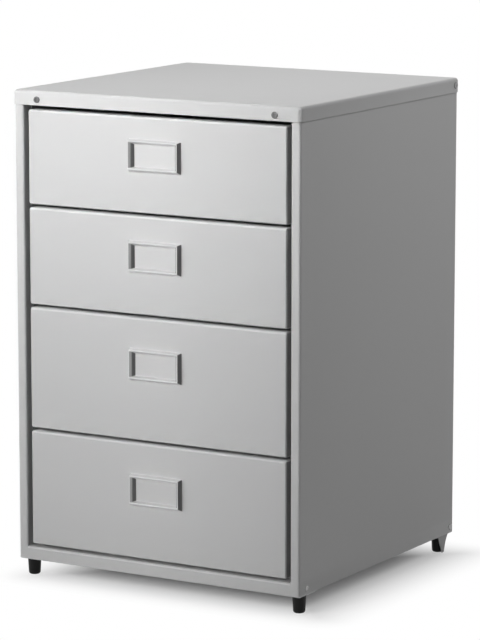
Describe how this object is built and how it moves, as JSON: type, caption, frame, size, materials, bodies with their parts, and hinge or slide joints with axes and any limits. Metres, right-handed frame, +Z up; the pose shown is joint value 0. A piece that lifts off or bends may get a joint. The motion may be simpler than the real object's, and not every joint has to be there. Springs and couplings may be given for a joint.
{
  "type": "filing cabinet",
  "caption": "Low steel filing cabinet with a screwed-on top cover, inset drawers on roller runners, raised frame handles and short tapered feet.",
  "frame": {"origin": "floor level, under the middle of the bounding box", "axes": "+Z up, the drawers open along -Y, +X to the right seen from the front"},
  "size_m": [0.4044, 0.4042, 0.6025],
  "materials": {
    "grey_paint": "satin light grey powder coat",
    "satin_nickel": "satin nickel plated",
    "zinc_steel": "zinc plated",
    "white_nylon": "moulded nylon",
    "black_plastic": "moulded, slightly soft",
    "plated_fastener": "dull zinc"
  },
  "bodies": {
    "cabinet": {"base_pan": "grey_paint", "left_side_panel": "grey_paint", "right_side_panel": "grey_paint", "back_panel": "grey_paint", "top_cover": "grey_paint", "top_front_rail": "grey_paint", "upright_front_left": "zinc_steel", "upright_front_right": "zinc_steel", "upright_rear_left": "zinc_steel", "upright_rear_right": "zinc_steel", "foot_brackets": "zinc_steel", "foot_front_left": "black_plastic", "foot_front_right": "black_plastic", "foot_rear_left": "black_plastic", "foot_rear_right": "black_plastic", "foot_screws": "plated_fastener", "cover_screws": "plated_fastener", "base_rivets": "plated_fastener", "runner_1_left": "zinc_steel", "runner_1_right": "zinc_steel", "runner_2_left": "zinc_steel", "runner_2_right": "zinc_steel", "runner_3_left": "zinc_steel", "runner_3_right": "zinc_steel", "runner_4_left": "zinc_steel", "runner_4_right": "zinc_steel"},
    "drawer_1": {"drawer_1_front": "grey_paint", "drawer_1_tray": "grey_paint", "drawer_1_handle": "satin_nickel", "drawer_1_handle_screws": "plated_fastener", "drawer_1_rail_left": "zinc_steel", "drawer_1_rail_right": "zinc_steel"},
    "drawer_1_rear_rollers": {"drawer_1_rollers": "white_nylon"},
    "runner_1_front_rollers": {"runner_1_rollers": "white_nylon"},
    "drawer_2": {"drawer_2_front": "grey_paint", "drawer_2_tray": "grey_paint", "drawer_2_handle": "satin_nickel", "drawer_2_handle_screws": "plated_fastener", "drawer_2_rail_left": "zinc_steel", "drawer_2_rail_right": "zinc_steel"},
    "drawer_2_rear_rollers": {"drawer_2_rollers": "white_nylon"},
    "runner_2_front_rollers": {"runner_2_rollers": "white_nylon"},
    "drawer_3": {"drawer_3_front": "grey_paint", "drawer_3_tray": "grey_paint", "drawer_3_handle": "satin_nickel", "drawer_3_handle_screws": "plated_fastener", "drawer_3_rail_left": "zinc_steel", "drawer_3_rail_right": "zinc_steel"},
    "drawer_3_rear_rollers": {"drawer_3_rollers": "white_nylon"},
    "runner_3_front_rollers": {"runner_3_rollers": "white_nylon"},
    "drawer_4": {"drawer_4_front": "grey_paint", "drawer_4_tray": "grey_paint", "drawer_4_handle": "satin_nickel", "drawer_4_handle_screws": "plated_fastener", "drawer_4_rail_left": "zinc_steel", "drawer_4_rail_right": "zinc_steel"},
    "drawer_4_rear_rollers": {"drawer_4_rollers": "white_nylon"},
    "runner_4_front_rollers": {"runner_4_rollers": "white_nylon"}
  },
  "joints": [
    {"name": "drawer_1_slide", "type": "slide", "parent": "cabinet", "child": "drawer_1", "axis": [0, -1, 0], "range_m": [0, 0.29]},
    {"name": "runner_1_roller_turn", "type": "hinge", "parent": "cabinet", "child": "runner_1_front_rollers", "pos_m": [0, -0.1611, 0.49], "axis": [1, 0, 0], "range_deg": [-5, 1667]},
    {"name": "drawer_1_roller_turn", "type": "hinge", "parent": "drawer_1", "child": "drawer_1_rear_rollers", "pos_m": [0, 0.1569, 0.4897], "axis": [1, 0, 0], "range_deg": [-5, 1667]},
    {"name": "drawer_2_slide", "type": "slide", "parent": "cabinet", "child": "drawer_2", "axis": [0, -1, 0], "range_m": [0, 0.29]},
    {"name": "runner_2_roller_turn", "type": "hinge", "parent": "cabinet", "child": "runner_2_front_rollers", "pos_m": [0, -0.1611, 0.3675], "axis": [1, 0, 0], "range_deg": [-5, 1667]},
    {"name": "drawer_2_roller_turn", "type": "hinge", "parent": "drawer_2", "child": "drawer_2_rear_rollers", "pos_m": [0, 0.1569, 0.3672], "axis": [1, 0, 0], "range_deg": [-5, 1667]},
    {"name": "drawer_3_slide", "type": "slide", "parent": "cabinet", "child": "drawer_3", "axis": [0, -1, 0], "range_m": [0, 0.29]},
    {"name": "runner_3_roller_turn", "type": "hinge", "parent": "cabinet", "child": "runner_3_front_rollers", "pos_m": [0, -0.1611, 0.2145], "axis": [1, 0, 0], "range_deg": [-5, 1667]},
    {"name": "drawer_3_roller_turn", "type": "hinge", "parent": "drawer_3", "child": "drawer_3_rear_rollers", "pos_m": [0, 0.1569, 0.2142], "axis": [1, 0, 0], "range_deg": [-5, 1667]},
    {"name": "drawer_4_slide", "type": "slide", "parent": "cabinet", "child": "drawer_4", "axis": [0, -1, 0], "range_m": [0, 0.29]},
    {"name": "runner_4_roller_turn", "type": "hinge", "parent": "cabinet", "child": "runner_4_front_rollers", "pos_m": [0, -0.1611, 0.0685], "axis": [1, 0, 0], "range_deg": [-5, 1667]},
    {"name": "drawer_4_roller_turn", "type": "hinge", "parent": "drawer_4", "child": "drawer_4_rear_rollers", "pos_m": [0, 0.1569, 0.0682], "axis": [1, 0, 0], "range_deg": [-5, 1667]}
  ],
  "couplings": [
    {"joint": "runner_1_roller_turn", "follows": "drawer_1_slide", "rad_per_m": 100},
    {"joint": "drawer_1_roller_turn", "follows": "drawer_1_slide", "rad_per_m": 100},
    {"joint": "runner_2_roller_turn", "follows": "drawer_2_slide", "rad_per_m": 100},
    {"joint": "drawer_2_roller_turn", "follows": "drawer_2_slide", "rad_per_m": 100},
    {"joint": "runner_3_roller_turn", "follows": "drawer_3_slide", "rad_per_m": 100},
    {"joint": "drawer_3_roller_turn", "follows": "drawer_3_slide", "rad_per_m": 100},
    {"joint": "runner_4_roller_turn", "follows": "drawer_4_slide", "rad_per_m": 100},
    {"joint": "drawer_4_roller_turn", "follows": "drawer_4_slide", "rad_per_m": 100}
  ]
}
